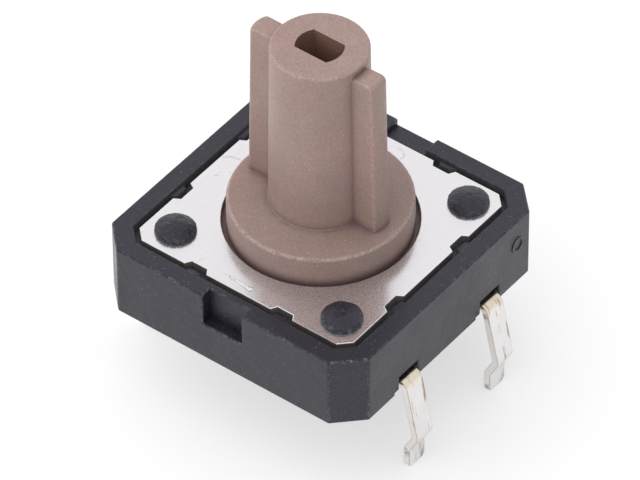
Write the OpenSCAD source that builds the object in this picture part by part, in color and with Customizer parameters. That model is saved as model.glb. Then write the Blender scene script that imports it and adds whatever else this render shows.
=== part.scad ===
// Tactile push button switch with a tall keyed stem, for through-hole boards.
// The origin is the centre of the plane where the switch seats on the board.
// +Z points up along the stem, and the two terminal rows face -X and +X.

/* [Housing] */
// Side of the square housing
body_w = 12; // [11.8:0.1:14]
// Height of the rim above the board
body_h = 3.45; // [3.35:0.05:4]
// Leg of the chamfer on each upright corner
corner_cut = 1.07; // [0.7:0.01:1.3]
// Thickness of the rim round the cover
rim_wall = 0.78; // [0.7:0.02:0.84]
// Height of the housing's lower edge above the board
standoff = 0.3; // [0.2:0.02:0.34]
// Distance of the seating foot from the housing's sides
foot_inset = 1.4; // [1.2:0.1:2]
// Diameter of the holes left where pins held the lead frames in the mould
pin_hole_d = 0.9; // [0.6:0.05:1.1]
// Distance of the outer pin holes from the housing's left and right sides
pin_hole_inset = 2.1; // [2:0.1:3]
// Skin of plastic over the lead frames in the cavity floor
floor_skin = 0.08; // [0.05:0.01:0.1]
// Width of the window in the front side
window_w = 1.8; // [1:0.1:2.6]
// Depth of the window into the rim
window_depth = 0.48; // [0.3:0.02:0.6]
// Height of the window's sill above the board
window_sill = 2; // [1.4:0.1:2.6]
// Width of the notch in the rear rim
rear_notch_w = 1.84; // [1:0.02:2.6]
// Depth of the rear notch below the rim's top
rear_notch_drop = 0.28; // [0.2:0.01:0.3]
// Outer diameter of the moulded ring on the right side
ring_d = 0.7; // [0.6:0.02:1]
// Width of the ring's line
ring_line = 0.12; // [0.08:0.01:0.2]
// Height by which the ring stands proud
ring_rise = 0.03; // [0.02:0.01:0.06]
// Distance of the ring's centre from the edge of the chamfer beside it
ring_inset = 0.73; // [0.5:0.01:1.5]
// Height of the ring's centre above the board
ring_height = 2.26; // [1.6:0.02:2.6]

/* [Cover plate] */
// Thickness of the cover plate
plate_t = 0.3; // [0.2:0.05:0.4]
// Depth of the plate's top below the rim's top
plate_drop = 0.03; // [0:0.01:0.08]
// Gap between the plate's edge and the rim
plate_gap = 0.22; // [0.12:0.01:0.3]
// Width of the plate between its edge and the round hole, at the narrowest
plate_land = 1.28; // [1.1:0.02:1.5]
// Leg of the plate's corner cuts
plate_corner = 0.46; // [0.3:0.02:0.6]
// Distance of each edge notch from the middle of its side
notch_pos = 2; // [1.6:0.02:2.2]
// Width of a notch at its mouth
notch_mouth = 1.02; // [0.9:0.02:1.2]
// Width of a notch at its floor
notch_floor = 0.72; // [0.6:0.02:0.86]
// Depth of a notch
notch_depth = 0.25; // [0.2:0.01:0.3]
// Clearance on each side of a tab in its notch
tab_gap = 0.1; // [0.06:0.01:0.14]
// Depth of a tab's top below the rim's top
tab_drop = 0.02; // [0:0.01:0.06]

/* [Staked posts] */
// Distance of the posts from the plate's edges
post_inset = 1.12; // [1.05:0.01:1.2]
// Diameter of a post
post_d = 1.1; // [0.9:0.05:1.2]
// Clearance round a post in the plate
post_gap = 0.05; // [0.03:0.01:0.1]
// Diameter of a staked head
head_d = 1.6; // [1.36:0.02:1.7]
// Height of a staked head over the plate
head_h = 0.44; // [0.32:0.02:0.5]
// Upright lip at the foot of a staked head
head_lip = 0.18; // [0.06:0.01:0.2]

/* [Plunger] */
// Height of the stem's top above the board
stem_top = 12; // [9:0.5:14]
// Radius of the stem at its top
stem_r_top = 1.86; // [1.6:0.02:1.9]
// Radius of the stem at its foot
stem_r_foot = 1.96; // [1.92:0.02:2.3]
// Rounding of the stem's top edge
stem_edge = 0.1; // [0.03:0.01:0.15]
// Fillet at the foot of the stem
stem_fillet = 0.04; // [0.02:0.02:0.3]
// Height of the flange's edge above the plate
flange_rise = 1.14; // [0.8:0.02:1.5]
// Rounding of the flange's edge
flange_edge = 0.14; // [0.1:0.02:0.36]
// Extra height of the flange at the stem
flange_crown = 0.04; // [0.02:0.01:0.12]
// Gap between the flange and the hole in the plate
flange_gap = 0.2; // [0.1:0.01:0.25]
// Width of the ribs
rib_w = 0.94; // [0.7:0.02:1.1]
// How far the right rib stands out from the stem at the flange
rib_out = 1; // [0.8:0.02:1.04]
// Taper of a rib's end from the flange to its top
rib_draft = 0.16; // [0.1:0.02:0.4]
// Radius of the round outer face of a rib
rib_nose = 1; // [0.8:0.05:2]
// How much further the left rib stands out, which keys the cap
rib_key = 0.18; // [0.06:0.02:0.24]
// Depth of the ribs' tops below the stem's top
rib_drop = 0.32; // [0.2:0.02:1]
// Rounding of the ribs' outer top corners
rib_edge = 0.2; // [0.06:0.02:0.3]
// Radius of the keyed socket
socket_r = 0.92; // [0.8:0.02:1.1]
// Distance between the socket's flats
socket_flat = 1.16; // [0.9:0.01:1.3]
// Depth of the socket
socket_depth = 2.6; // [1.5:0.1:4]
// How far the hidden skirt reaches past the hole in the plate
skirt_overlap = 0.42; // [0.3:0.02:0.45]
// Thickness of the skirt
skirt_t = 0.6; // [0.4:0.05:0.8]
// Clearance between the skirt and the plate above it
skirt_gap = 0.03; // [0.02:0.01:0.05]
// Reach of the guide lugs past the skirt
lug_reach = 0.4; // [0.25:0.05:0.45]
// Width of the guide lugs
lug_w = 1.2; // [0.8:0.1:1.6]
// Radius of the boss under the skirt
boss_r = 1.6; // [1.4:0.1:2]
// Radius of the nub that presses the dome
nub_r = 0.8; // [0.5:0.05:1]
// Height of the nub
nub_h = 0.3; // [0.2:0.02:0.4]
// Running clearance between the plunger and its guides
guide_gap = 0.1; // [0.05:0.01:0.14]

/* [Snap dome] */
// Width of the shelf round the dome's pocket
shelf_w = 0.59; // [0.4:0.01:0.8]
// Free height of the dome inside
dome_rise = 0.38; // [0.34:0.02:0.46]
// Thickness of the dome
dome_t = 0.08; // [0.06:0.01:0.1]
// Clearance round the dome in its pocket
dome_gap = 0.1; // [0.05:0.01:0.15]
// Height of the pads over the lead frames
pad_h = 0.13; // [0.12:0.01:0.16]
// Radius of the pads under the dome's edge
pad_r = 0.35; // [0.25:0.05:0.4]
// Distance of the pads' centres inside the dome's edge
pad_inset = 0.12; // [0.08:0.02:0.2]
// Radius of the pad under the dome's middle
centre_pad_r = 0.5; // [0.4:0.05:0.7]
// Assembly clearance between pieces that touch in use
seat_gap = 0.01; // [0.01:0.005:0.02]

/* [Terminals] */
// Width of a terminal
lead_w = 0.95; // [0.8:0.05:1.1]
// Thickness of the lead frame
lead_t = 0.27; // [0.2:0.01:0.3]
// Distance of a terminal's middle from the housing's front or rear side
lead_inset = 3.5; // [3.4:0.05:3.6]
// Height of the lead frame's top above the board
lead_height = 0.74; // [0.7:0.02:0.8]
// Clearance between the lead frame and the moulding
lead_gap = 0.02; // [0.01:0.005:0.03]
// Distance of the top bend from the housing's side
bend_reach = 0.09; // [0.05:0.01:0.2]
// Distance of the shoulder from the housing's side
shoulder_reach = 0.63; // [0.4:0.01:0.8]
// Distance of the tip from the housing's side
tip_reach = 0.25; // [0.1:0.01:0.35]
// Depth of the shoulder below the board's top
shoulder_drop = 1.9; // [1.6:0.05:2.1]
// Depth of the neck below the board's top
neck_drop = 2.65; // [2.5:0.05:2.8]
// Depth of the tips below the board's top
lead_len = 3.55; // [3.3:0.05:4]
// Inner radius of the bends
bend_r = 0.12; // [0.08:0.01:0.16]
// Cut at the tip's corners
tip_cut = 0.14; // [0.05:0.01:0.25]
// Width of the tongue that carries the centre pad
tongue_w = 1.2; // [0.9:0.1:1.6]
// Play beside and below the terminal in the mouth of its slot
slot_play = 0.1; // [0.04:0.01:0.12]
// Height of the slot's mouth above the terminal
slot_rise = 0.3; // [0.1:0.02:0.4]
// Depth of the slot's mouth
slot_depth = 0.3; // [0.2:0.05:0.5]
// Height of the relief in the housing's lower edge beside a terminal
relief_h = 0.12; // [0.06:0.01:0.14]
// Length of the relief beside a terminal
relief_len = 0.35; // [0.2:0.05:0.6]

/* [Hidden] */
$fn = 96;
// Overlap that joins shapes within one piece, and overshoot of a cut
join = 0.05;
// Steps in a rounded edge
steps = 6;

// Heights
plate_top = body_h - plate_drop;
seat_z = plate_top - plate_t;
lead_z = lead_height - lead_t;
lead_mid = lead_height - lead_t / 2;
floor_z = lead_height + floor_skin;
pad_z = lead_height + pad_h;
dome_z = pad_z + seat_gap;
apex_z = dome_z + dome_rise + dome_t;
skirt_top = seat_z - skirt_gap;
skirt_z = skirt_top - skirt_t;
nub_z = apex_z + seat_gap;
boss_z = nub_z + nub_h;
shelf_z = apex_z;
flange_top = plate_top + flange_rise;
crown_z = flange_top + flange_crown;
rib_height = stem_top - rib_drop - flange_top;
rib_tilt = atan(rib_draft / rib_height);

// Radii and half widths
body_half = body_w / 2;
rim_half = body_half - rim_wall;
rim_corner = corner_cut - (2 - sqrt(2)) * rim_wall;
plate_half = rim_half - plate_gap;
post_at = plate_half - post_inset;
hole_r = plate_half - plate_land;
flange_r = hole_r - flange_gap;
rib_foot_r = stem_r_foot + rib_out;
skirt_r = hole_r + skirt_overlap;
lug_r = skirt_r + lug_reach;
cavity_r = skirt_r + guide_gap;
pocket_r = cavity_r - shelf_w;
dome_r = pocket_r - dome_gap;
row_y = body_half - lead_inset;
ring_y = body_half - corner_cut - ring_inset;
// The pads stand where the dome's edge passes over the lead frames
pad_x = sqrt(pow(dome_r - pad_inset, 2) - pow(row_y, 2));
dome_sphere = (pow(dome_r, 2) + pow(dome_rise, 2)) / (2 * dome_rise);
head_sphere = (pow(head_d / 2, 2) + pow(head_h - head_lip, 2)) / (2 * (head_h - head_lip));

// Turns a point about the origin
function turned(p, a) = [p[0] * cos(a) - p[1] * sin(a), p[0] * sin(a) + p[1] * cos(a)];

// Square with cut corners, given its half width and the leg of a cut
function cut_square(half, cut) =
    [for (a = [0:90:270], p = [[half, cut - half], [half, half - cut]]) turned(p, a)];

// Trapezium of a notch in the side that faces -Y, opening downwards
function notch(x, edge, mouth, floor_w, depth) =
    [[x - mouth / 2, edge], [x - floor_w / 2, edge + depth],
     [x + floor_w / 2, edge + depth], [x + mouth / 2, edge]];

// Points of an arc
function arc(centre, r, from, to) =
    [for (i = [0:steps]) centre + r * [cos(from + (to - from) * i / steps),
                                       sin(from + (to - from) * i / steps)]];

function unit(v) = v / norm(v);
function left_of(v) = [-v[1], v[0]];

// Offset of a path's corner to one side, so that the strip keeps its thickness
function mitre(before, here, after, d) =
    let (n1 = left_of(unit(here - before)), n2 = left_of(unit(after - here)), m = unit(n1 + n2))
    here + m * d / (m * n1);

// A path with each inner corner rounded on radius r
function rounded(path, r) =
    [for (i = [0:len(path) - 1])
        if (i == 0 || i == len(path) - 1) path[i]
        else
            let (u = unit(path[i - 1] - path[i]), v = unit(path[i + 1] - path[i]),
                 half_angle = acos(u * v) / 2, back = r / tan(half_angle),
                 centre = path[i] + unit(u + v) * r / sin(half_angle),
                 start = path[i] + u * back, end = path[i] + v * back,
                 from = atan2(start[1] - centre[1], start[0] - centre[0]),
                 turn = atan2(end[1] - centre[1], end[0] - centre[0]) - from,
                 sweep = turn > 180 ? turn - 360 : turn < -180 ? turn + 360 : turn)
            each arc(centre, r, from, from + sweep)];

// Outline of a strip of even thickness along a path
function strip(path, t) =
    let (last = len(path) - 1,
         side = function (d) [for (i = [0:last])
             i == 0 ? path[0] + left_of(unit(path[1] - path[0])) * d
             : i == last ? path[last] + left_of(unit(path[last] - path[last - 1])) * d
             : mitre(path[i - 1], path[i], path[i + 1], d)],
         right = side(-t / 2))
    concat(side(t / 2), [for (i = [last:-1:0]) right[i]]);

// Half of a lead frame's side view, from the middle of the switch to a tip
lead_path = [[body_half + bend_reach, lead_mid], [body_half + shoulder_reach, -shoulder_drop],
             [body_half + tip_reach, -neck_drop], [body_half + tip_reach, -lead_len]];

// Extrudes a side view drawn in X and Z along Y, centred on y
module along_y(y, width) {
    translate([0, y + width / 2, 0]) rotate([90, 0, 0]) linear_extrude(height = width) children();
}

// Prism between two heights
module prism(points, low, high) {
    translate([0, 0, low]) linear_extrude(height = high - low) polygon(points);
}

module ring_of_posts() {
    for (x = [-1, 1], y = [-1, 1]) translate([x * post_at, y * post_at, 0]) children();
}

// Lead frame strip with two terminals, grown by the moulding's clearance
module lead_strip(y, grow = 0) {
    half = rounded(concat([[0, lead_mid]], lead_path), bend_r + lead_t / 2);
    for (side = [0, 1]) mirror([side, 0, 0])
        along_y(y, lead_w + 2 * grow) polygon(strip(half, lead_t + 2 * grow));
}

// Cuts the corners off the tips
module tip_cuts(y) {
    for (x = [-1, 1], side = [-1, 1])
        translate([x * (body_half + tip_reach), y + side * lead_w / 2, -lead_len])
            rotate([45, 0, 0])
                cube([2 * lead_t, tip_cut * sqrt(2), tip_cut * sqrt(2)], center = true);
}

module edge_pads(y) {
    for (x = [-1, 1]) translate([x * pad_x, y, lead_mid]) cylinder(r = pad_r, h = pad_z - lead_mid);
}

// Tongue from the strip to the middle, with its round end
module tongue(grow = 0) {
    translate([-tongue_w / 2 - grow, 0, lead_z - grow])
        cube([tongue_w + 2 * grow, row_y, lead_t + 2 * grow]);
    translate([0, 0, lead_z - grow]) cylinder(r = tongue_w / 2 + grow, h = lead_t + 2 * grow);
}

module centre_pad(grow = 0) {
    translate([0, 0, lead_mid]) cylinder(r = centre_pad_r + grow, h = pad_z - lead_mid);
}

module common_contact() {
    color("gainsboro") difference() {
        union() {
            lead_strip(-row_y);
            edge_pads(-row_y);
        }
        tip_cuts(-row_y);
    }
}

module centre_contact() {
    color("gainsboro") difference() {
        union() {
            lead_strip(row_y);
            tongue();
            centre_pad();
        }
        tip_cuts(row_y);
    }
}

// Slot's mouth and relief beside each terminal of the right side
module slot_mouths() {
    for (y = [-row_y, row_y]) {
        translate([body_half - slot_depth, y - lead_w / 2 - slot_play, lead_z - slot_play])
            cube([slot_depth + join, lead_w + 2 * slot_play, slot_play + lead_t + slot_rise]);
        translate([body_half - slot_depth, y - lead_w / 2 - relief_len, standoff - join])
            cube([slot_depth + join, lead_w + relief_len + slot_play, relief_h + join]);
    }
}

// Round cavity for the plunger and the dome, with a keyway for each guide lug
module cavity() {
    translate([0, 0, shelf_z]) cylinder(r = cavity_r, h = seat_z + join - shelf_z);
    translate([0, 0, floor_z]) cylinder(r = pocket_r, h = shelf_z + join - floor_z);
    key_r = lug_r + guide_gap;
    key_w = lug_w + 2 * guide_gap;
    translate([-key_r, -key_w / 2, shelf_z]) cube([2 * key_r, key_w, seat_z + join - shelf_z]);
}

// Openings in the cavity floor for the common contact's pads
module edge_pad_wells() {
    for (x = [-1, 1])
        translate([x * pad_x, -row_y, lead_mid])
            cylinder(r = pad_r + lead_gap, h = pad_z + lead_gap - lead_mid);
}

// Holes in the foot, up to the underside of both lead frames
module pin_holes() {
    outer_x = body_half - pin_hole_inset;
    for (p = [[-outer_x, -row_y], [0, -row_y], [outer_x, -row_y],
              [-outer_x, row_y], [0, 0], [outer_x, row_y]])
        translate([p[0], p[1], -join]) cylinder(d = pin_hole_d, h = lead_z + join);
}

// Window in the front rim, and the shallow notch through the rear rim
module rim_openings() {
    translate([-window_w / 2, -body_half - join, window_sill])
        cube([window_w, window_depth + join, body_h + join - window_sill]);
    translate([-rear_notch_w / 2, rim_half - join, body_h - rear_notch_drop])
        cube([rear_notch_w, rim_wall + 2 * join, rear_notch_drop + join]);
}

// Tabs on the inside of the rim, one in each notch of the plate
module tabs() {
    slope = (notch_mouth - notch_floor) / 2 / notch_depth;
    for (a = [0:90:270], x = [-notch_pos, notch_pos])
        rotate([0, 0, a])
            prism(notch(x, -rim_half - join, notch_mouth - 2 * tab_gap + 2 * slope * join,
                        notch_floor - 2 * tab_gap, notch_depth + join),
                  seat_z - join, body_h - tab_drop);
}

module staked_post() {
    translate([0, 0, seat_z - join]) cylinder(d = post_d, h = plate_t + 2 * join);
    translate([0, 0, plate_top]) intersection() {
        cylinder(d = head_d, h = head_h);
        translate([0, 0, head_h - head_sphere]) sphere(r = head_sphere);
    }
}

module side_ring() {
    translate([body_half - join, ring_y, ring_height]) rotate([0, 90, 0]) difference() {
        cylinder(d = ring_d, h = join + ring_rise);
        translate([0, 0, -join]) cylinder(d = ring_d - 2 * ring_line, h = ring_rise + 3 * join);
    }
}

module base() {
    color([0.26, 0.26, 0.28]) difference() {
        union() {
            difference() {
                union() {
                    prism(cut_square(body_half, corner_cut), standoff, body_h);
                    prism(cut_square(body_half - foot_inset, corner_cut), 0, standoff + join);
                }
                prism(cut_square(rim_half, rim_corner), seat_z, body_h + join);
                cavity();
            }
            tabs();
            ring_of_posts() staked_post();
            side_ring();
            // Plastic pads carry the dome where the centre contact passes below it
            edge_pads(row_y);
        }
        lead_strip(-row_y, lead_gap);
        lead_strip(row_y, lead_gap);
        edge_pad_wells();
        tongue(lead_gap);
        centre_pad(lead_gap);
        slot_mouths();
        rotate([0, 0, 180]) slot_mouths();
        rim_openings();
        pin_holes();
    }
}

// One side of the cover's outline, facing -Y
function plate_side() =
    concat([[plate_corner - plate_half, -plate_half]],
           notch(-notch_pos, -plate_half, notch_mouth, notch_floor, notch_depth),
           notch(notch_pos, -plate_half, notch_mouth, notch_floor, notch_depth),
           [[plate_half - plate_corner, -plate_half]]);

module cover_plate() {
    color([0.86, 0.86, 0.88]) difference() {
        prism([for (a = [0:90:270], p = plate_side()) turned(p, a)], seat_z, plate_top);
        translate([0, 0, seat_z - join]) cylinder(r = hole_r, h = plate_t + 2 * join);
        ring_of_posts() translate([0, 0, seat_z - join])
            cylinder(r = post_d / 2 + post_gap, h = plate_t + 2 * join);
    }
}

// Half section of the flange and stem, from the skirt to the top
function stem_section() =
    let (draft = atan((stem_r_foot - stem_r_top) / (stem_top - crown_z)))
    concat([[0, skirt_top - join], [flange_r, skirt_top - join]],
           arc([flange_r - flange_edge, flange_top - flange_edge], flange_edge, 0, 90),
           arc([stem_r_foot + stem_fillet, crown_z + stem_fillet], stem_fillet, 270, 180 + draft),
           arc([stem_r_top - stem_edge, stem_top - stem_edge], stem_edge, 0, 90),
           [[0, stem_top]]);

// Half section of the round bar that a rib's outer face belongs to
function rib_section() =
    concat([[0, -flange_edge], [rib_nose, -flange_edge]],
           arc([rib_nose - rib_edge, rib_height - rib_edge], rib_edge, 0, 90),
           [[0, rib_height]]);

// Rib that points to +X
module rib(extra = 0) {
    translate([rib_foot_r + extra, 0, flange_top]) rotate([0, -rib_tilt, 0])
        translate([-rib_nose, 0, 0]) intersection() {
            rotate_extrude() polygon(rib_section());
            translate([-rib_nose, -rib_w / 2, -flange_edge])
                cube([2 * rib_nose, rib_w, rib_height + flange_edge]);
        }
}

module plunger() {
    color([0.63, 0.55, 0.52]) difference() {
        union() {
            rotate_extrude() polygon(stem_section());
            rib();
            mirror([1, 0, 0]) rib(rib_key);
            translate([0, 0, skirt_z]) cylinder(r = skirt_r, h = skirt_t);
            translate([-lug_r, -lug_w / 2, skirt_z]) cube([2 * lug_r, lug_w, skirt_t]);
            translate([0, 0, boss_z]) cylinder(r = boss_r, h = skirt_z + join - boss_z);
            translate([0, 0, nub_z]) cylinder(r = nub_r, h = nub_h + join);
        }
        translate([0, 0, stem_top - socket_depth]) intersection() {
            cylinder(r = socket_r, h = socket_depth + join);
            translate([-socket_r, -socket_flat / 2, 0])
                cube([2 * socket_r, socket_flat, socket_depth + join]);
        }
    }
}

module snap_dome() {
    color([0.8, 0.8, 0.82]) intersection() {
        translate([0, 0, dome_z]) cylinder(r = dome_r, h = dome_rise + dome_t + join);
        translate([0, 0, dome_z + dome_rise - dome_sphere]) difference() {
            sphere(r = dome_sphere + dome_t);
            sphere(r = dome_sphere);
        }
    }
}

base();
cover_plate();
plunger();
snap_dome();
common_contact();
centre_contact();
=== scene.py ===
import math

import bmesh
import bpy
from mathutils import Matrix, Vector, noise


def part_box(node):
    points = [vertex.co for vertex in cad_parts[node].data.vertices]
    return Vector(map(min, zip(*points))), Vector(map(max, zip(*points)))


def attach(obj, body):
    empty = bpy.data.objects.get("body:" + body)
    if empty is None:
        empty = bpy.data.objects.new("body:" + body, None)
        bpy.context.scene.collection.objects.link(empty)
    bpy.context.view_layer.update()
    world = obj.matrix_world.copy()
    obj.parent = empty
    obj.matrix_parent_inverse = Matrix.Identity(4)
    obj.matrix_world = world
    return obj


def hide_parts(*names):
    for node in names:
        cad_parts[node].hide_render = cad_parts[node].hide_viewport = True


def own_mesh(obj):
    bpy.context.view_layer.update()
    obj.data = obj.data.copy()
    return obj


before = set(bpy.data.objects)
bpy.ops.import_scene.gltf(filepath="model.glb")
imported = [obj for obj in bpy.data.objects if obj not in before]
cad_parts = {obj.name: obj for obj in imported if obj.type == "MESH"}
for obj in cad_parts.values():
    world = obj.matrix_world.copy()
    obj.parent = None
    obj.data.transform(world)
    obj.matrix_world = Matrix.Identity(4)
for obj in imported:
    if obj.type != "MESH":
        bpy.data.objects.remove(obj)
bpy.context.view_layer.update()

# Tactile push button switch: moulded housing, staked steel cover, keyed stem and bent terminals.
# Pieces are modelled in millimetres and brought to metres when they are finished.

mm = 0.001
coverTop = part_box("cover_plate")[1].z / mm       # the steel's upper face
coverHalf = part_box("cover_plate")[1].x / mm
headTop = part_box("base")[1].z / mm               # the staked heads are the housing's highest part
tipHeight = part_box("common_contact")[0].z / mm   # the terminals' tips, where the switch stands
facingUp = 0.9      # a face whose normal rises more than this faces up
upright = 0.3       # and one whose normal rises less than this stands upright
touch = 0.02        # heights and distances that differ by less than this, in mm, count as the same
weld = 0.002        # corners closer than this, in mm, become one
flat = 0.3          # neighbouring faces that turn less than this, in degrees, become one


# Colours and nodes

def hexToLinear(code):
    channels = [int(code[i:i + 2], 16) / 255 for i in (1, 3, 5)]
    return [c / 12.92 if c <= 0.04045 else ((c + 0.055) / 1.055) ** 2.4 for c in channels] + [1.0]


def addNode(tree, kind, settings=None, links=None):
    node = tree.nodes.new(kind)
    for name, value in (settings or {}).items():
        if isinstance(name, int) or name in node.inputs:
            node.inputs[name].default_value = value
        else:
            setattr(node, name, value)
    for name, source in (links or {}).items():
        tree.links.new(source, node.inputs[name])
    return node


def startMaterial(name, settings):
    material = bpy.data.materials.new(name)
    material.use_nodes = True
    tree = material.node_tree
    tree.nodes.clear()
    shader = addNode(tree, "ShaderNodeBsdfPrincipled", settings)
    addNode(tree, "ShaderNodeOutputMaterial", links={"Surface": shader.outputs["BSDF"]})
    place = addNode(tree, "ShaderNodeTexCoord").outputs["Object"]
    return material, tree, shader, place


def perMetre(size):
    return 1 / (size * mm)


# Selecting and shaping

def selectOnly(piece):
    if bpy.context.object and bpy.context.object.mode != "OBJECT":
        bpy.ops.object.mode_set(mode="OBJECT")
    bpy.ops.object.select_all(action="DESELECT")
    piece.select_set(True)
    bpy.context.view_layer.objects.active = piece


def selectFaces(piece, test):
    bpy.ops.mesh.select_mode(type="FACE")
    bpy.ops.mesh.select_all(action="DESELECT")
    shape = bmesh.from_edit_mesh(piece.data)
    for face in shape.faces:
        face.select_set(test(face))
    bmesh.update_edit_mesh(piece.data)


def selectEdges(piece, test):
    bpy.ops.mesh.select_mode(type="EDGE")
    bpy.ops.mesh.select_all(action="DESELECT")
    shape = bmesh.from_edit_mesh(piece.data)
    for edge in shape.edges:
        edge.select_set(test(edge))
    bmesh.update_edit_mesh(piece.data)


def dressPiece(piece, materials):
    piece.data.materials.clear()
    for material in materials:
        piece.data.materials.append(material)


def copyOfNode(node, name, materials):
    piece = bpy.data.objects.new(name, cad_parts[node].data.copy())
    bpy.context.collection.objects.link(piece)
    dressPiece(piece, materials)
    selectOnly(piece)
    piece.scale = (1 / mm,) * 3
    bpy.ops.object.transform_apply(location=False, rotation=False, scale=True)
    bpy.ops.mesh.customdata_custom_splitnormals_clear()
    bpy.ops.object.mode_set(mode="EDIT")
    bpy.ops.mesh.select_all(action="SELECT")
    bpy.ops.mesh.remove_doubles(threshold=weld)
    bpy.ops.mesh.dissolve_limited(angle_limit=math.radians(flat))
    bpy.ops.object.mode_set(mode="OBJECT")
    return piece


def applyModifier(piece, kind, settings):
    selectOnly(piece)
    modifier = piece.modifiers.new(kind.title(), kind)
    for name, value in settings.items():
        setattr(modifier, name, value)
    bpy.ops.object.modifier_apply(modifier=modifier.name)


def roundEdges(piece, width, segments, shows, material=1, sharpness=25):
    # Rounds the sharp outside corners that pass the test, which is given both ends of the edge
    selectOnly(piece)
    shape = bmesh.new()
    shape.from_mesh(piece.data)
    weight = shape.edges.layers.float.new("bevel_weight_edge")
    for edge in shape.edges:
        if len(edge.link_faces) == 2 and edge.calc_face_angle_signed() > math.radians(sharpness):
            if shows(edge.verts[0].co, edge.verts[1].co):
                edge[weight] = 1.0
    shape.to_mesh(piece.data)
    shape.free()
    applyModifier(piece, "BEVEL", {
        "limit_method": "WEIGHT", "width": width, "segments": segments,
        "use_clamp_overlap": False, "miter_outer": "MITER_ARC", "loop_slide": True,
        "material": material})


def finishPiece(piece, body, node=None, smoothing=30):
    selectOnly(piece)
    piece.scale = (mm,) * 3
    bpy.ops.object.transform_apply(location=True, rotation=True, scale=True)
    bpy.ops.object.shade_smooth_by_angle(angle=math.radians(smoothing))
    applyModifier(piece, "WEIGHTED_NORMAL", {"keep_sharp": True})
    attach(piece, body)
    if node:
        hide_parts(node)
    print("finished", piece.name, len(piece.data.polygons), "faces")


# Materials

plateScrapes = [    # x, y, turn in degrees, length and width in millimetres
    (-0.2, -4.6, -4, 1.2, 0.13),
    (0.26, -4.63, 20, 0.32, 0.22),
    (-4.31, -0.36, 50, 0.6, 0.08),
]
plateRubs = [       # the same, where the steel is only dulled
    (-4.74, 0.5, 48, 0.5, 0.12),
    (-4.44, 0.6, 10, 0.4, 0.1),
    (0.16, 4.72, -8, 0.4, 0.08),
    (0.4, 4.58, -50, 0.3, 0.1),
    (0.48, 4.4, -95, 0.3, 0.09),
    (2.62, -3.95, 75, 0.34, 0.04),
    (2.76, -3.9, 76, 0.36, 0.04),
    (3.62, 1.1, 68, 0.4, 0.05),
    (-2.13, -4.52, 70, 0.34, 0.05),
    (-4.52, -3.68, 66, 0.3, 0.05),
]
stemRingsOfFlashAndHighlight = [     # radius, height and strength of each pale ring: mould flash, and on the flange's crest also a painted highlight
    (3.47, 4.51, 0.45),
    (1.83, 11.97, 0.3),
]


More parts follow.
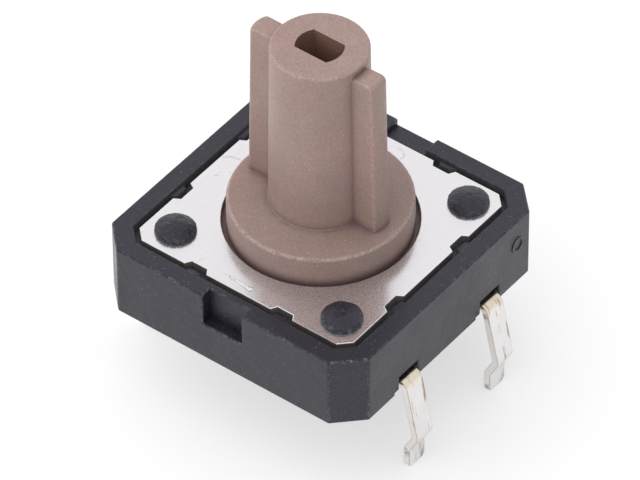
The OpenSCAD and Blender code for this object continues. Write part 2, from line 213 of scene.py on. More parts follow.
def glassFilledNylon(name, roughness, wear=0.0, grainDepth=0.018, paleMix=0.0, fleckShare=0.25):
    # Injection-moulded nylon with glass in it: nearly black, so it is its sheen that shows. A
    # spark-eroded mould gives it a gritty grain, cut fibre ends stand out as small pale flecks,
    # sharp corners rub to a paler grey, and the given share of a paler grey is mixed in.
    colours = {"dark": "#131318", "light": "#2f2f36", "fleck": "#77777b", "worn": "#a2a09a",
               "paleMix": "#8d8b88"}
    sizes = {"cloud": 1.4, "fleck": 0.17, "grain": 0.075, "lump": 0.45, "wear": 0.16}
    material, tree, shader, place = startMaterial(name, {
        "IOR": 1.53, "Specular Tint": hexToLinear("#eeeeff")})
    cloud = addNode(tree, "ShaderNodeTexNoise", {"Scale": perMetre(sizes["cloud"]), "Detail": 5.0,
                                                 "Roughness": 0.6}, {"Vector": place})
    grain = addNode(tree, "ShaderNodeTexNoise", {"Scale": perMetre(sizes["grain"]), "Detail": 4.0,
                                                 "Roughness": 0.65}, {"Vector": place})
    grit = addNode(tree, "ShaderNodeMapRange", {"From Min": 0.36, "From Max": 0.68},
                   {"Value": grain.outputs["Fac"]})
    gritty = addNode(tree, "ShaderNodeMix", {"data_type": "RGBA", 6: hexToLinear(colours["dark"]),
                                             7: hexToLinear(colours["light"])},
                     {0: grit.outputs["Result"]})
    base = addNode(tree, "ShaderNodeMix", {"data_type": "RGBA", 0: paleMix, 7: hexToLinear(colours["paleMix"])},
                   {6: gritty.outputs[2]})
    fibres = addNode(tree, "ShaderNodeTexVoronoi", {"Scale": perMetre(sizes["fleck"])},
                     {"Vector": place})
    near = addNode(tree, "ShaderNodeMapRange", {"From Min": 0.2, "From Max": 0.09},
                   {"Value": fibres.outputs["Distance"]})
    chosen = addNode(tree, "ShaderNodeSeparateColor", links={"Color": fibres.outputs["Color"]})
    few = addNode(tree, "ShaderNodeMapRange", {"From Min": 1 - fleckShare, "From Max": 0.98},
                  {"Value": chosen.outputs["Red"]})
    flecks = addNode(tree, "ShaderNodeMath", {"operation": "MULTIPLY"},
                     {0: near.outputs["Result"], 1: few.outputs["Result"]})
    speckled = addNode(tree, "ShaderNodeMix", {"data_type": "RGBA", 7: hexToLinear(colours["fleck"])},
                       {0: flecks.outputs["Value"], 6: base.outputs[2]})
    rubbed = addNode(tree, "ShaderNodeTexNoise", {"Scale": perMetre(sizes["wear"]), "Detail": 5.0,
                                                  "Roughness": 0.75}, {"Vector": place})
    patches = addNode(tree, "ShaderNodeMapRange", {"From Min": 0.5, "From Max": 0.66, "To Max": wear},
                      {"Value": rubbed.outputs["Fac"]})
    worn = addNode(tree, "ShaderNodeMix", {"data_type": "RGBA", 7: hexToLinear(colours["worn"])},
                   {0: patches.outputs["Result"], 6: speckled.outputs[2]})
    gloss = addNode(tree, "ShaderNodeMapRange", {"From Min": 0.3, "From Max": 0.7,
                                                 "To Min": roughness - 0.07, "To Max": roughness + 0.08},
                    {"Value": cloud.outputs["Fac"]})
    lumps = addNode(tree, "ShaderNodeTexNoise", {"Scale": perMetre(sizes["lump"]), "Detail": 2.0},
                    {"Vector": place})
    soft = addNode(tree, "ShaderNodeBump", {"Strength": 1.0, "Distance": 0.018 * mm},
                   {"Height": lumps.outputs["Fac"]})
    fine = addNode(tree, "ShaderNodeBump", {"Strength": 1.0, "Distance": grainDepth * mm},
                   {"Height": grain.outputs["Fac"], "Normal": soft.outputs["Normal"]})
    tree.links.new(worn.outputs[2], shader.inputs["Base Color"])
    tree.links.new(gloss.outputs["Result"], shader.inputs["Roughness"])
    tree.links.new(fine.outputs["Normal"], shader.inputs["Normal"])
    return material


def nearestMark(tree, place, marks, ragged):
    # How far a point is from the nearest mark, in units of that mark: 1 is its ragged outline
    nearest = None
    for x, y, turn, length, width in marks:
        local = addNode(tree, "ShaderNodeMapping", {
            "vector_type": "TEXTURE", "Location": (x * mm, y * mm, 0), "Rotation": (0, 0, math.radians(turn)),
            "Scale": (length * mm / 2, width * mm / 2, 1)}, {"Vector": place})
        reach = addNode(tree, "ShaderNodeVectorMath", {"operation": "LENGTH"},
                        {0: local.outputs["Vector"]}).outputs["Value"]
        if nearest:
            reach = addNode(tree, "ShaderNodeMath", {"operation": "MINIMUM"},
                            {0: nearest, 1: reach}).outputs["Value"]
        nearest = reach
    return addNode(tree, "ShaderNodeMath", {"operation": "ADD"}, {0: nearest, 1: ragged}).outputs["Value"]


def rolledSteel(name, colour, roughness, scrapes=(), rubs=()):
    # Bright cold-rolled sheet, stamped: a mirror that fine dull pits make hazy, with faint rolling
    # lines and handling marks. A scrape is a ragged mark with a bright floor and a dull lip; a rub
    # is a dull mark only.
    colours = {"lip": "#b4b1ad", "floor": "#fbfbfb", "rub": "#cfcdcc"}
    sizes = {"line": 0.05, "length": 3.0, "smear": 2.2, "dent": 1.1, "rag": 0.12, "pit": 0.025}
    material, tree, shader, place = startMaterial(name, {"Metallic": 1.0, "Base Color": hexToLinear(colour)})
    along = addNode(tree, "ShaderNodeMapping",
                    {"Scale": (perMetre(sizes["length"]), perMetre(sizes["line"]),
                               perMetre(sizes["length"]))},
                    {"Vector": place})
    lines = addNode(tree, "ShaderNodeTexNoise", {"Scale": 1.0, "Detail": 2.0},
                    {"Vector": along.outputs["Vector"]})
    smears = addNode(tree, "ShaderNodeTexNoise", {"Scale": perMetre(sizes["smear"]), "Detail": 4.0},
                     {"Vector": place})
    smeared = addNode(tree, "ShaderNodeMapRange", {"To Min": roughness - 0.04, "To Max": roughness + 0.06},
                      {"Value": smears.outputs["Fac"]})
    pits = addNode(tree, "ShaderNodeTexNoise", {"Scale": perMetre(sizes["pit"]), "Detail": 1.0},
                   {"Vector": place})
    haze = addNode(tree, "ShaderNodeMapRange", {"From Min": 0.48, "From Max": 0.64, "To Max": 0.26},
                   {"Value": pits.outputs["Fac"]})
    gloss = addNode(tree, "ShaderNodeMath", {"operation": "ADD"},
                    {0: smeared.outputs["Result"], 1: haze.outputs["Result"]})
    dents = addNode(tree, "ShaderNodeTexNoise", {"Scale": perMetre(sizes["dent"]), "Detail": 1.0},
                    {"Vector": place})
    soft = addNode(tree, "ShaderNodeBump", {"Strength": 0.25, "Distance": 0.01 * mm},
                   {"Height": dents.outputs["Fac"]})
    fine = addNode(tree, "ShaderNodeBump", {"Strength": 0.12, "Distance": 0.002 * mm},
                   {"Height": lines.outputs["Fac"], "Normal": soft.outputs["Normal"]})
    tree.links.new(gloss.outputs["Value"], shader.inputs["Roughness"])
    tree.links.new(fine.outputs["Normal"], shader.inputs["Normal"])
    if not scrapes:
        return material

    noisy = addNode(tree, "ShaderNodeTexNoise", {"Scale": perMetre(sizes["rag"]), "Detail": 3.0,
                                                 "Roughness": 0.7}, {"Vector": place})
    ragged = addNode(tree, "ShaderNodeMapRange", {"From Min": 0.3, "From Max": 0.7, "To Min": -0.35,
                                                  "To Max": 0.35}, {"Value": noisy.outputs["Fac"]})
    scrape = nearestMark(tree, place, scrapes, ragged.outputs["Result"])
    rub = nearestMark(tree, place, rubs, ragged.outputs["Result"])
    dull = addNode(tree, "ShaderNodeMapRange", {"From Min": 1.2, "From Max": 0.7, "To Max": 0.7},
                   {"Value": rub})
    lip = addNode(tree, "ShaderNodeMapRange", {"From Min": 1.25, "From Max": 0.98, "To Max": 0.9},
                  {"Value": scrape})
    floor = addNode(tree, "ShaderNodeMapRange", {"From Min": 0.95, "From Max": 0.8}, {"Value": scrape})
    dulled = addNode(tree, "ShaderNodeMix", {"data_type": "RGBA", 6: hexToLinear(colour),
                                             7: hexToLinear(colours["rub"])}, {0: dull.outputs["Result"]})
    lipped = addNode(tree, "ShaderNodeMix", {"data_type": "RGBA", 7: hexToLinear(colours["lip"])},
                     {0: lip.outputs["Result"], 6: dulled.outputs[2]})
    scraped = addNode(tree, "ShaderNodeMix", {"data_type": "RGBA", 7: hexToLinear(colours["floor"])},
                      {0: floor.outputs["Result"], 6: lipped.outputs[2]})
    rough = addNode(tree, "ShaderNodeMix", {"data_type": "FLOAT", 3: 0.75},
                    {0: floor.outputs["Result"], 2: gloss.outputs["Value"]})
    tree.links.new(scraped.outputs[2], shader.inputs["Base Color"])
    tree.links.new(rough.outputs[0], shader.inputs["Roughness"])
    return material


def mouldedAcetal(name, colour, drift, roughness, ringsOfFlashAndHighlight=(), wear=0.0):
    # Injection-moulded acetal in a mauve brown that drifts from a greyer to a pinker shade where
    # the melt flowed: waxy, with faint flow clouds, and a powdery grain from the mould with paler
    # and darker grains of pigment in it. Sharp edges are a paler cream, partly rubbed and partly a
    # painted highlight, and so is each given ring of the flash that the mould left, with a radius and
    # a height; the ring on the flange's crest is also a painted highlight.
    # Inner corners take a little purplish painted shade, and painted shade also darkens the lower part.
    colours = {"paleLine": "#d6c0ae", "fleck": "#cbb3a6", "cornerShade": "#6a5558"}
    sizes = {"cloud": 1.5, "grain": 0.085, "pigment": 0.07, "fleck": 0.17, "paleLine": 0.14,
             "ringWidth": 0.1, "drift": 3.2, "corner": 0.45}
    shades = {"cloudDark": 0.94, "cloudLight": 1.06, "pigmentDark": 0.87, "pigmentLight": 1.13,
              "lowShade": 0.9, "unshaded": 1.03}
    lowShade = {"bottom": 5.0, "top": 8.0}       # heights between which the painted shade towards the flange fades out, in mm
    material, tree, shader, place = startMaterial(name, {"IOR": 1.48})
    cloud = addNode(tree, "ShaderNodeTexNoise", {"Scale": perMetre(sizes["cloud"]), "Detail": 4.0,
                                                 "Roughness": 0.6}, {"Vector": place})
    flow = addNode(tree, "ShaderNodeMapRange", {"From Min": 0.3, "From Max": 0.7,
                                                "To Min": shades["cloudDark"],
                                                "To Max": shades["cloudLight"]},
                   {"Value": cloud.outputs["Fac"]})
    pigment = addNode(tree, "ShaderNodeTexNoise", {"Scale": perMetre(sizes["pigment"]), "Detail": 2.0,
                                                   "Roughness": 0.7}, {"Vector": place})
    powder = addNode(tree, "ShaderNodeMapRange", {"From Min": 0.34, "From Max": 0.66,
                                                  "To Min": shades["pigmentDark"],
                                                  "To Max": shades["pigmentLight"]},
                     {"Value": pigment.outputs["Fac"]})
    part = addNode(tree, "ShaderNodeSeparateXYZ", links={"Vector": place})
    # Painted shade: the colour darkens towards the flange, below the given heights.
    lowShading = addNode(tree, "ShaderNodeMapRange", {
        "From Min": lowShade["bottom"] * mm, "From Max": lowShade["top"] * mm, "To Min": shades["lowShade"],
        "To Max": shades["unshaded"]}, {"Value": part.outputs["Z"]})
    flowed = addNode(tree, "ShaderNodeMath", {"operation": "MULTIPLY"},
                     {0: flow.outputs["Result"], 1: powder.outputs["Result"]})
    shade = addNode(tree, "ShaderNodeMath", {"operation": "MULTIPLY"},
                    {0: flowed.outputs["Value"], 1: lowShading.outputs["Result"]})
    wander = addNode(tree, "ShaderNodeTexNoise", {"Scale": perMetre(sizes["drift"]), "Detail": 2.0},
                     {"Vector": place})
    mixed = addNode(tree, "ShaderNodeMapRange", {"From Min": 0.36, "From Max": 0.64},
                    {"Value": wander.outputs["Fac"]})
    brown = addNode(tree, "ShaderNodeMix", {"data_type": "RGBA", 6: hexToLinear(colour),
                                            7: hexToLinear(drift)}, {0: mixed.outputs["Result"]})
    plain = addNode(tree, "ShaderNodeVectorMath", {"operation": "SCALE"},
                    {0: brown.outputs[2], "Scale": shade.outputs["Value"]})
    grains = addNode(tree, "ShaderNodeTexVoronoi", {"Scale": perMetre(sizes["fleck"])}, {"Vector": place})
    near = addNode(tree, "ShaderNodeMapRange", {"From Min": 0.2, "From Max": 0.1},
                   {"Value": grains.outputs["Distance"]})
    chosen = addNode(tree, "ShaderNodeSeparateColor", links={"Color": grains.outputs["Color"]})
    few = addNode(tree, "ShaderNodeMapRange", {"From Min": 0.7, "From Max": 0.98},
                  {"Value": chosen.outputs["Red"]})
    flecks = addNode(tree, "ShaderNodeMath", {"operation": "MULTIPLY"},
                     {0: near.outputs["Result"], 1: few.outputs["Result"]})
    speckled = addNode(tree, "ShaderNodeMix", {"data_type": "RGBA", 7: hexToLinear(colours["fleck"])},
                       {0: flecks.outputs["Value"], 6: plain.outputs["Vector"]})
    # Painted shade: ambient occlusion darkens the inner corners towards a purplish colour.
    clear = addNode(tree, "ShaderNodeAmbientOcclusion", {"samples": 8, "Distance": sizes["corner"] * mm})
    corner = addNode(tree, "ShaderNodeMapRange", {"From Min": 0.9, "From Max": 0.35, "To Max": 0.75},
                     {"Value": clear.outputs["AO"]})
    cornerShaded = addNode(tree, "ShaderNodeMix", {"data_type": "RGBA", 7: hexToLinear(colours["cornerShade"])},
                    {0: corner.outputs["Result"], 6: speckled.outputs[2]})
    rubbed = addNode(tree, "ShaderNodeTexNoise", {"Scale": perMetre(sizes["paleLine"]), "Detail": 4.0,
                                                  "Roughness": 0.7}, {"Vector": place})
    broken = addNode(tree, "ShaderNodeMapRange", {"From Min": 0.4, "From Max": 0.62},
                     {"Value": rubbed.outputs["Fac"]})
    pale = addNode(tree, "ShaderNodeMath", {"operation": "MULTIPLY", 1: wear},
                   {0: broken.outputs["Result"]}).outputs["Value"]
    level = addNode(tree, "ShaderNodeMapping", {"Scale": (1, 1, 0)}, {"Vector": place})
    out = addNode(tree, "ShaderNodeVectorMath", {"operation": "LENGTH"}, {0: level.outputs["Vector"]})
    section = addNode(tree, "ShaderNodeCombineXYZ", links={"X": out.outputs["Value"], "Y": part.outputs["Z"]})
    # Each pale ring is mould flash; the one on the flange's crest is also a painted highlight.
    for radius, height, strength in ringsOfFlashAndHighlight:
        reach = addNode(tree, "ShaderNodeVectorMath", {
            "operation": "DISTANCE", 1: (radius * mm, height * mm, 0)}, {0: section.outputs["Vector"]})
        close = addNode(tree, "ShaderNodeMapRange", {
            "From Min": sizes["ringWidth"] * mm, "From Max": sizes["ringWidth"] * mm / 3,
            "To Max": strength}, {"Value": reach.outputs["Value"]})
        ring = addNode(tree, "ShaderNodeMath", {"operation": "MULTIPLY"},
                       {0: close.outputs["Result"], 1: broken.outputs["Result"]})
        pale = addNode(tree, "ShaderNodeMath", {"operation": "MAXIMUM"},
                       {0: pale, 1: ring.outputs["Value"]}).outputs["Value"]
    base = addNode(tree, "ShaderNodeMix", {"data_type": "RGBA", 7: hexToLinear(colours["paleLine"])},
                   {0: pale, 6: cornerShaded.outputs[2]})
    gloss = addNode(tree, "ShaderNodeMapRange", {"From Min": 0.3, "From Max": 0.7,
                                                 "To Min": roughness - 0.06, "To Max": roughness + 0.08},
                    {"Value": cloud.outputs["Fac"]})
    grain = addNode(tree, "ShaderNodeTexNoise", {"Scale": perMetre(sizes["grain"]), "Detail": 4.0,
                                                 "Roughness": 0.65}, {"Vector": place})
    fine = addNode(tree, "ShaderNodeBump", {"Strength": 1.0, "Distance": 0.014 * mm},
                   {"Height": grain.outputs["Fac"]})
    tree.links.new(base.outputs[2], shader.inputs["Base Color"])
    tree.links.new(gloss.outputs["Result"], shader.inputs["Roughness"])
    tree.links.new(fine.outputs["Normal"], shader.inputs["Normal"])
    return material


def silverPlate(name, colour, warmth, roughness):
    # Silver plate on brass, stamped and bent: nearly white, with brown scratches drawn down the
    # blade, and a cream tarnish that is strongest where the bend stretched the plate
    colours = {"tarnish": "#d9c6a2", "scratch": "#8f7a5c"}
    sizes = {"scratch": 0.2, "length": 1.5, "patch": 0.8}
    bend = {"bottom": 0.4, "top": 0.6}      # heights between which the tarnish comes up, in mm
    material, tree, shader, place = startMaterial(name, {"Metallic": 1.0})
    down = addNode(tree, "ShaderNodeMapping",
                   {"Scale": (perMetre(sizes["length"]), perMetre(sizes["scratch"]),
                              perMetre(sizes["length"]))},
                   {"Vector": place})
    drawn = addNode(tree, "ShaderNodeTexNoise", {"Scale": 1.0, "Detail": 4.0, "Roughness": 0.6},
                    {"Vector": down.outputs["Vector"]})
    marks = addNode(tree, "ShaderNodeMapRange", {"From Min": 0.57, "From Max": 0.65, "To Max": 0.75},
                    {"Value": drawn.outputs["Fac"]})
    patch = addNode(tree, "ShaderNodeTexNoise", {"Scale": perMetre(sizes["patch"]), "Detail": 4.0,
                                                 "Roughness": 0.6}, {"Vector": place})
    spread = addNode(tree, "ShaderNodeMapRange", {"From Min": 0.45, "From Max": 0.75, "To Max": warmth},
                     {"Value": patch.outputs["Fac"]})
    part = addNode(tree, "ShaderNodeSeparateXYZ", links={"Vector": place})
    high = addNode(tree, "ShaderNodeMapRange", {"From Min": bend["bottom"] * mm, "From Max": bend["top"] * mm,
                                                "To Max": 0.55}, {"Value": part.outputs["Z"]})
    warm = addNode(tree, "ShaderNodeMath", {"operation": "ADD", "use_clamp": True},
                   {0: spread.outputs["Result"], 1: high.outputs["Result"]})
    cream = addNode(tree, "ShaderNodeMix", {"data_type": "RGBA", 6: hexToLinear(colour),
                                            7: hexToLinear(colours["tarnish"])}, {0: warm.outputs["Value"]})
    base = addNode(tree, "ShaderNodeMix", {"data_type": "RGBA", 7: hexToLinear(colours["scratch"])},
                   {0: marks.outputs["Result"], 6: cream.outputs[2]})
    soft = addNode(tree, "ShaderNodeBump", {"Strength": 1.0, "Distance": 0.012 * mm},
                   {"Height": patch.outputs["Fac"]})
    fine = addNode(tree, "ShaderNodeBump", {"Strength": 0.7, "Distance": 0.006 * mm},
                   {"Height": drawn.outputs["Fac"], "Normal": soft.outputs["Normal"]})
    gloss = addNode(tree, "ShaderNodeMapRange", {"To Min": roughness - 0.08, "To Max": roughness + 0.12},
                    {"Value": patch.outputs["Fac"]})
    tree.links.new(base.outputs[2], shader.inputs["Base Color"])
    tree.links.new(gloss.outputs["Result"], shader.inputs["Roughness"])
    tree.links.new(fine.outputs["Normal"], shader.inputs["Normal"])
    return material


nylonTextured = glassFilledNylon("glassFilledNylonTextured", 0.31)
nylonEdge = glassFilledNylon("glassFilledNylonRubbedEdge", 0.4, wear=0.3)
nylonChipped = glassFilledNylon("glassFilledNylonChippedEdge", 0.45, wear=0.62)
nylonPaleWall = glassFilledNylon("glassFilledNylonPaleWall", 0.5, paleMix=0.25)
nylonLip = glassFilledNylon("glassFilledNylonStakedLip", 0.4, wear=0.35, grainDepth=0.01)
nylonStaked = glassFilledNylon("glassFilledNylonHeatStaked", 0.34, wear=0.05, grainDepth=0.008,
                               fleckShare=0.3)
steelCover = rolledSteel("coldRolledSteelCover", "#ebe9ea", 0.16, scrapes=plateScrapes, rubs=plateRubs)
steelSheared = rolledSteel("coldRolledSteelSheared", "#b4b0aa", 0.42)
steelBurr = rolledSteel("coldRolledSteelBurr", "#f4f3f0", 0.3)
steelSpring = rolledSteel("stainlessSpringSteelDome", "#d2d2d4", 0.25)
acetalStem = mouldedAcetal("mouldedAcetalStem", "#a58e84", "#a48880", 0.44, ringsOfFlashAndHighlight=stemRingsOfFlashAndHighlight)
# The stem's rounded edges are paler: partly rubbed, partly a painted highlight.
acetalRubbedHighlitEdge = mouldedAcetal("mouldedAcetalRubbedHighlitEdge", "#a58e84", "#a48880", 0.42, wear=0.22)
# The socket's walls take a darker copy of the stem's colour: painted shade in the recess.
acetalSocketShaded = mouldedAcetal("mouldedAcetalSocketShaded", "#8a7064", "#866658", 0.5)
silverTerminal = silverPlate("silverPlatedBrass", "#e9e7e6", 0.2, 0.25)
silverEdge = silverPlate("silverPlatedBrassRubbedEdge", "#c4bcb0", 0.15, 0.4)
print("materials ready")


# Housing

housing = {
    "edge": 0.075,                  # rounding of the moulded edges
    "edgeSteps": 4,
    "gap": (4.55, 5.26),            # the gap round the steel lies between these, and its upright walls are paler
    "paleAbove": 1.5,
    "tab": 3.43,                    # height of the tabs that reach into the steel's notches
    "tabDrop": 0.1,                 # they sit this much lower, clear of the rim's rounding
    "chipped": 4.95,                # the near corner's top edge is chipped past this, both ways
    "chippedDepth": 0.1,            # and down to this far under the steel's face
    "tabMatch": 0.005,              # a face this close to the tabs' height is a tab's top
    "skin": 5.1,                    # what lies further out than this shows
    "rim": 4.6,                     # and so does the rim, from here out
    "seat": coverTop - 0.3,         # and above the steel's seat
    "sill": coverTop - 0.2,         # but the window's sill in the gap stays crisp
    "postPlace": coverHalf - 1.12,  # the staked posts stand this far from the middle, both ways
    "ring": Vector((6.0, 4.2, 2.26)),    # the small moulded ring keeps its own crisp edges
    "ringRadius": 0.6,
}

head = {
    "radius": 0.8,
    "lip": 0.18,            # the lip's height over the steel
    "lipEdge": 0.045,
    "lipSteps": 3,
    "lipSlope": 0.85,       # faces steeper than this and further out than this share are the rubbed lip
    "lipFrom": 0.88,
    "rings": 22,
    "steps": 84,
    "dent": 0.03,          # depth of the hammered dents
    "dentSize": 0.3,
    "pit": 0.017,
    "pitSize": 0.08,
    "pleat": 0.014,         # folds round the lip, where the plastic flowed out
    "pleats": 15,
    "foldFrom": 0.55,       # the folds begin at this share of the radius
    "pip": 0.02,            # depth of the mark at the middle, from the staking tool
    "pipRadius": 0.07,
    "shift": Vector((0.045, 0.035)),     # the hot tool struck a little off the posts
}


def housingMoulding():
    piece = copyOfNode("base", "housingMoulding", [nylonTextured, nylonEdge, nylonPaleWall, nylonChipped])
    place = housing["postPlace"]
    posts = [Vector((x * place, y * place)) for x in (-1, 1) for y in (-1, 1)]

    selectOnly(piece)
    bpy.ops.object.mode_set(mode="EDIT")
    selectFaces(piece, lambda face: face.normal.z > facingUp and abs(
        face.calc_center_median().z - housing["tab"]) < housing["tabMatch"])
    bpy.ops.transform.translate(value=(0, 0, -housing["tabDrop"]))
    bpy.ops.object.mode_set(mode="OBJECT")

    # The staked heads are modelled apart, so the plain ones come off and the posts are capped
    def onHead(face):
        middle = face.calc_center_median()
        close = any((middle.xy - post).length < head["radius"] + touch for post in posts)
        return close and middle.z > coverTop - touch

    selectOnly(piece)
    bpy.ops.object.mode_set(mode="EDIT")
    selectFaces(piece, onHead)
    bpy.ops.mesh.delete(type="FACE")
    for post in posts:
        selectEdges(piece, lambda edge: edge.is_boundary and all(
            (v.co.xy - post).length < head["radius"] for v in edge.verts))
        bpy.ops.mesh.edge_face_add()
    bpy.ops.object.mode_set(mode="OBJECT")

    def shows(a, b):
        if (a - housing["ring"]).length < housing["ringRadius"]:
            return False
        out = [max(abs(v.x), abs(v.y)) for v in (a, b)]
        if max(out) < housing["gap"][1] and max(a.z, b.z) < housing["sill"]:
            return False
        if min(out) > housing["skin"]:
            return True
        return min(out) > housing["rim"] and min(a.z, b.z) > housing["seat"]

    roundEdges(piece, housing["edge"], housing["edgeSteps"], shows)
    for face in piece.data.polygons:
        middle = face.center
        out = max(abs(middle.x), abs(middle.y))
        if housing["gap"][0] < out < housing["gap"][1] and middle.z > housing["paleAbove"]:
            face.material_index = 2 if abs(face.normal.z) < upright else 0
        if face.material_index == 1 and middle.z > coverTop - housing["chippedDepth"]:
            if middle.x > housing["chipped"] and middle.y < -housing["chipped"]:
                face.material_index = 3
    return piece


def stakedHead(name, x, y, turn):
    bpy.ops.object.select_all(action="DESELECT")
    bpy.ops.mesh.primitive_cylinder_add(vertices=head["steps"], radius=head["radius"], depth=head["lip"],
                                        location=(0, 0, coverTop + head["lip"] / 2))
    piece = bpy.context.object
    piece.name = name
    dressPiece(piece, [nylonStaked, nylonLip])
    selectOnly(piece)
    bpy.ops.object.transform_apply(location=True, rotation=True, scale=True)
    lipTop = coverTop + head["lip"]
    rise = headTop - lipTop

    # The dome grows ring by ring from the flat top
    bpy.ops.object.mode_set(mode="EDIT")
    selectFaces(piece, lambda face: face.normal.z > facingUp)
    step = head["radius"] / (head["rings"] + 1)
    for ring in range(head["rings"]):
        outer = 1 - ring * step / head["radius"]
        inner = 1 - (ring + 1) * step / head["radius"]
        bpy.ops.mesh.inset(thickness=step, depth=rise * (outer ** 2 - inner ** 2))
    bpy.ops.mesh.poke()
    selectEdges(piece, lambda edge: all(
        abs(v.co.z - lipTop) < 0.001 and v.co.xy.length > head["radius"] - 0.01 for v in edge.verts))
    bpy.ops.mesh.bevel(offset=head["lipEdge"], segments=head["lipSteps"], affect="EDGES")
    bpy.ops.mesh.select_all(action="SELECT")
    bpy.ops.mesh.normals_make_consistent(inside=False)
    bpy.ops.object.mode_set(mode="OBJECT")

    # Hammered by the hot tool: dents, pits, folds round the lip and a mark at the middle
    offset = Vector((turn * 5, turn * 3, 0))
    for vertex in piece.data.vertices:
        place = vertex.co.copy()
        if place.z < coverTop + touch:
            continue
        out = place.xy.length / head["radius"]
        edge = max(0, out - head["foldFrom"]) / (1 - head["foldFrom"])
        dent = noise.noise((place + offset) / head["dentSize"])
        pit = noise.noise((place + offset) / head["pitSize"])
        angle = math.atan2(place.y, place.x)
        fold = math.cos(head["pleats"] * angle + 3 * noise.noise(place * 1.5 + offset))
        drop = head["dent"] * (0.5 + dent) + head["pit"] * (0.5 + pit)
        drop += head["pip"] * math.exp(-(place.xy.length / head["pipRadius"]) ** 2)
        vertex.co.z -= drop * (1 - 0.5 * edge)
        shrink = 1 - head["pleat"] * edge * (0.5 + 0.5 * fold) - head["pit"] * edge * (0.5 + pit)
        vertex.co.x *= shrink
        vertex.co.y *= shrink
    for face in piece.data.polygons:
        if abs(face.normal.z) < head["lipSlope"] and face.center.xy.length > head["radius"] * head["lipFrom"]:
            face.material_index = 1
    piece.location = (x + head["shift"].x, y + head["shift"].y, 0)
    bpy.ops.object.transform_apply(location=True, rotation=False, scale=False)
    return piece


moulding = housingMoulding()
place = housing["postPlace"]
for number, (x, y) in enumerate(((-1, -1), (1, -1), (-1, 1), (1, 1))):
    stake = stakedHead(f"stakedHead{number + 1}", x * place, y * place, number + 1.0)
    finishPiece(stake, "housing", smoothing=60)
finishPiece(moulding, "housing", "base")


# Cover

cover = {"edge": 0.035, "edgeSteps": 3, "faceDepth": 0.01}    # edges no deeper than this are the face's


def steelCoverPlate():
    piece = copyOfNode("cover_plate", "steelCover", [steelCover, steelSheared, steelBurr])
    for face in piece.data.polygons:
        face.material_index = 1 if abs(face.normal.z) < upright else 0     # the sheared sides
    roundEdges(piece, cover["edge"], cover["edgeSteps"],
               lambda a, b: min(a.z, b.z) > coverTop - cover["faceDepth"], material=2)
    return piece


finishPiece(steelCoverPlate(), "housing", "cover_plate")


# Stem

stem = {
    "edge": 0.09,           # rounding of the ribs and the flange
    "edgeSteps": 4,
    "socketFloor": 0.05,    # faces lower than this under the mouth are in the socket's shade
    "socketReach": 1.0,     # the socket's mouth lies within this distance of the axis
    "top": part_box("plunger")[1].z / mm,
    "hidden": coverTop + 0.6,
}


def keyedStem():
    piece = copyOfNode("plunger", "keyedStem", [acetalStem, acetalRubbedHighlitEdge, acetalSocketShaded])

    def onRibs(a, b):
        return min(a.z, b.z) > stem["hidden"] and min(a.xy.length, b.xy.length) > stem["socketReach"]

    for face in piece.data.polygons:
        inside = all(piece.data.vertices[v].co.xy.length < stem["socketReach"] for v in face.vertices)
        lowest = min(piece.data.vertices[v].co.z for v in face.vertices)
        if inside and stem["hidden"] < lowest < stem["top"] - stem["socketFloor"]:
            face.material_index = 2
    roundEdges(piece, stem["edge"], stem["edgeSteps"], onRibs, sharpness=35)
    return piece


finishPiece(keyedStem(), "button", "plunger", smoothing=40)


# Terminals

terminal = {"edge": 0.025, "edgeSteps": 2, "hidden": 5.6}

for node, name in (("common_contact", "commonTerminals"), ("centre_contact", "centreTerminals")):
    blade = copyOfNode(node, name, [silverTerminal, silverEdge])
    roundEdges(blade, terminal["edge"], terminal["edgeSteps"],
               lambda a, b: min(abs(a.x), abs(b.x)) > terminal["hidden"])
    finishPiece(blade, "housing", node, smoothing=35)


# Snap dome

dome = {
    "radius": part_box("snap_dome")[1].x / mm,
    "low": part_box("snap_dome")[0].z / mm,
    "rise": 0.38,
    "thickness": 0.075,
    "rings": 24,
    "steps": 96,
    "keep": 0.33,           # how much of its rise is left when it has snapped through
}


def snapDome():
    bpy.ops.object.select_all(action="DESELECT")
    bpy.ops.mesh.primitive_circle_add(vertices=dome["steps"], radius=dome["radius"], fill_type="NGON",
                                      location=(0, 0, dome["low"]))
    piece = bpy.context.object
    piece.name = "clickDome"
    dressPiece(piece, [steelSpring])
    selectOnly(piece)
    bpy.ops.object.transform_apply(location=True, rotation=True, scale=True)
    ball = (dome["radius"] ** 2 + dome["rise"] ** 2) / (2 * dome["rise"])
    step = dome["radius"] / (dome["rings"] + 1)
    bpy.ops.object.mode_set(mode="EDIT")
    bpy.ops.mesh.select_all(action="SELECT")
    for ring in range(dome["rings"]):
        outer = dome["radius"] - ring * step
        rise = math.sqrt(ball ** 2 - (outer - step) ** 2) - math.sqrt(ball ** 2 - outer ** 2)
        bpy.ops.mesh.inset(thickness=step, depth=rise)
    bpy.ops.mesh.poke()
    bpy.ops.object.mode_set(mode="OBJECT")
    applyModifier(piece, "SOLIDIFY", {"thickness": dome["thickness"], "offset": 1.0})
    finishPiece(piece, "housing", "snap_dome")
    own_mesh(piece)


snapDome()
print("pieces ready")


# Studio

studio = {
    "floorSize": 0.6,
    "floorColour": "#f6f6f6",       # what lights the object from below
    "seenColour": "#b8b8b8",        # where the floor is seen, this and its glow make white
    "floorGlow": 0.58,
    "skyColour": "#fdfcff",
    "lean": (-0.35, -0.3, 0.885),   # the soft light is brightest in this direction
    "skyDim": 0.2,
    "skyBright": 1.72,
    "skyFall": 3.0,                 # how fast it falls off towards the horizon
}


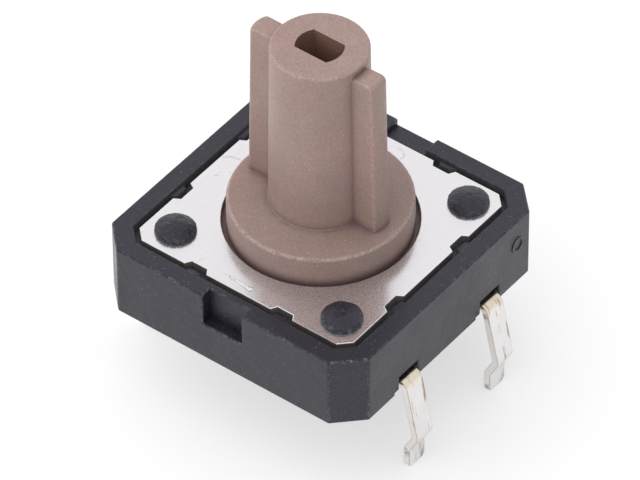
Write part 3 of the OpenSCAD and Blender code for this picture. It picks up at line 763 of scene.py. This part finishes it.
def seenRay(tree):
    # What the camera sees, straight or in a mirror, apart from light that comes on from a matt surface
    path = addNode(tree, "ShaderNodeLightPath")
    either = addNode(tree, "ShaderNodeMath", {"operation": "MAXIMUM"},
                     {0: path.outputs["Is Camera Ray"], 1: path.outputs["Is Glossy Ray"]})
    seen = addNode(tree, "ShaderNodeMath", {"operation": "MAXIMUM"},
                   {0: either.outputs["Value"], 1: path.outputs["Is Transmission Ray"]})
    first = addNode(tree, "ShaderNodeMath", {"operation": "LESS_THAN", 1: 0.5},
                    {0: path.outputs["Diffuse Depth"]})
    return addNode(tree, "ShaderNodeMath", {"operation": "MULTIPLY"},
                   {0: seen.outputs["Value"], 1: first.outputs["Value"]})


def whiteFloor():
    bpy.ops.object.select_all(action="DESELECT")
    bpy.ops.mesh.primitive_plane_add(size=studio["floorSize"], location=(0, 0, tipHeight * mm))
    floor = bpy.context.object
    floor.name = "studioFloor"
    material, tree, shader, place = startMaterial("mattWhitePaper", {
        "Roughness": 0.9, "Specular IOR Level": 0.0, "Emission Color": (1, 1, 1, 1)})
    seen = seenRay(tree).outputs["Value"]
    paper = addNode(tree, "ShaderNodeMix", {"data_type": "RGBA", 6: hexToLinear(studio["floorColour"]),
                                            7: hexToLinear(studio["seenColour"])}, {0: seen})
    glow = addNode(tree, "ShaderNodeMath", {"operation": "MULTIPLY", 1: studio["floorGlow"]}, {0: seen})
    tree.links.new(paper.outputs[2], shader.inputs["Base Color"])
    tree.links.new(glow.outputs["Value"], shader.inputs["Emission Strength"])
    floor.data.materials.append(material)


def studioSky():
    world = bpy.data.worlds.new("softStudio")
    world.use_nodes = True
    bpy.context.scene.world = world
    tree = world.node_tree
    tree.nodes.clear()
    way = addNode(tree, "ShaderNodeTexCoord")
    lean = addNode(tree, "ShaderNodeVectorMath", {"operation": "DOT_PRODUCT", 1: studio["lean"]},
                   {0: way.outputs["Generated"]})
    toward = addNode(tree, "ShaderNodeMapRange", {"From Min": -1.0, "From Max": 1.0},
                     {"Value": lean.outputs["Value"]})
    fall = addNode(tree, "ShaderNodeMath", {"operation": "POWER", 1: studio["skyFall"]},
                   {0: toward.outputs["Result"]})
    light = addNode(tree, "ShaderNodeMapRange", {"To Min": studio["skyDim"], "To Max": studio["skyBright"]},
                    {"Value": fall.outputs["Value"]})
    strength = addNode(tree, "ShaderNodeMix", {"data_type": "FLOAT", 3: 1.0},
                       {0: seenRay(tree).outputs["Value"], 2: light.outputs["Result"]})
    sky = addNode(tree, "ShaderNodeBackground", {"Color": hexToLinear(studio["skyColour"])},
                  {"Strength": strength.outputs[0]})
    addNode(tree, "ShaderNodeOutputWorld", links={"Surface": sky.outputs["Background"]})


# Camera

lookFrom = {
    "azimuth": 37.732, "elevation": 43.771, "roll": -0.364,   # degrees
    "distance": 275.818, "right": -0.0455, "up": 1.394, "lift": 0.3,   # millimetres
    "focal": 7367.976, "frame": 640,    # both in pixels
    "sensor": 36,                       # millimetres
    "nearClip": 0.01, "farClip": 5,     # metres
}


def studioCamera():
    a = math.radians(lookFrom["azimuth"])
    e = math.radians(lookFrom["elevation"])
    back = Vector((math.sin(a) * math.cos(e), -math.cos(a) * math.cos(e), math.sin(e)))
    level = Vector((math.cos(a), math.sin(a), 0))
    turn = Matrix.Rotation(math.radians(lookFrom["roll"]), 3, back)
    right = turn @ level
    up = turn @ back.cross(level)
    place = right * lookFrom["right"] + up * lookFrom["up"] + back * lookFrom["distance"]
    place.z += lookFrom["lift"]
    data = bpy.data.cameras.new("studioCamera")
    data.sensor_fit = "HORIZONTAL"
    data.sensor_width = lookFrom["sensor"]
    data.lens = lookFrom["focal"] * data.sensor_width / lookFrom["frame"]
    data.clip_start = lookFrom["nearClip"]
    data.clip_end = lookFrom["farClip"]
    camera = bpy.data.objects.new("studioCamera", data)
    camera.matrix_world = Matrix.Translation(place * mm) @ Matrix((right, up, back)).transposed().to_4x4()
    bpy.context.collection.objects.link(camera)
    bpy.context.scene.camera = camera


whiteFloor()
studioSky()
studioCamera()
bpy.context.scene.view_settings.view_transform = "Standard"
print("studio ready")
